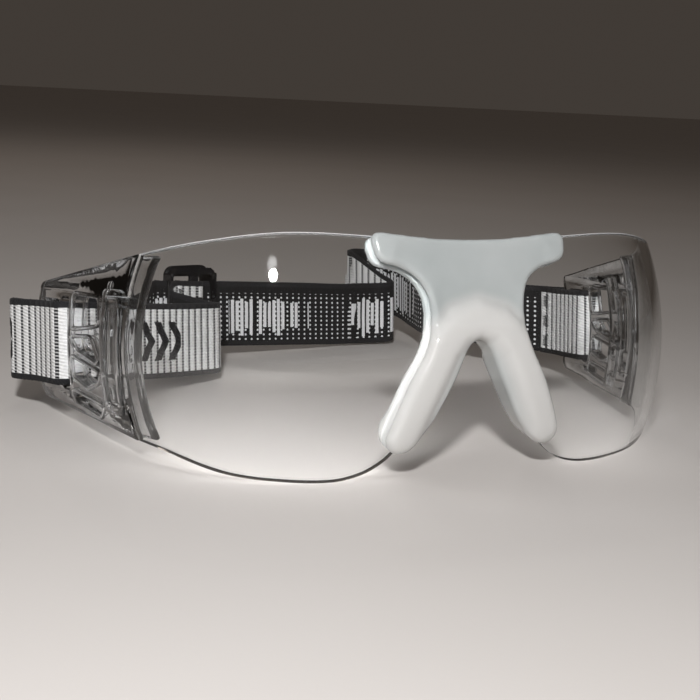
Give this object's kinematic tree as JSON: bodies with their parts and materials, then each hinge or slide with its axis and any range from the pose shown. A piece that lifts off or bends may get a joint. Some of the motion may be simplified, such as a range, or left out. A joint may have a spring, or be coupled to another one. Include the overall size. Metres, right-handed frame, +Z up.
{
  "type": "sports protective goggles",
  "caption": "Clear wraparound sports eye guard with clip-on strap holders, a soft nose bridge and an elastic headband on a sliding adjuster.",
  "frame": {"origin": "centre of the footprint, at the level of the table that the goggles lie on", "axes": "+X to the wearer's left, +Y from the shield back to the headband, +Z up"},
  "size_m": [0.1716, 0.1652, 0.0538],
  "materials": {
    "clear_polycarbonate": "polished, clear",
    "clear_holder": "moulded, clear",
    "milky_silicone": "glossy, translucent",
    "webbing": "woven elastic, black and white",
    "webbing_white": "woven elastic, white ribbed face",
    "black_acetal": "moulded, glossy",
    "thread": "polyester sewing thread"
  },
  "bodies": {
    "root": {"lens_shield": "clear_polycarbonate", "side_bracket_left": "clear_holder", "side_bracket_right": "clear_holder", "nose_bridge": "milky_silicone", "strap_headband": "webbing", "strap_right_loop": "webbing_white", "strap_left_loop": "webbing_white", "strap_return": "webbing", "stitch_right": "thread"},
    "adjuster": {"slide_adjuster": "black_acetal", "strap_end_loop": "webbing", "stitch_slider": "thread"}
  },
  "joints": [
    {"name": "adjuster_slide", "type": "slide", "parent": "root", "child": "adjuster", "axis": [0.9791, 0.1942, -0.0604], "range_m": [0, 0.045], "deforming": ["strap_return"]}
  ]
}
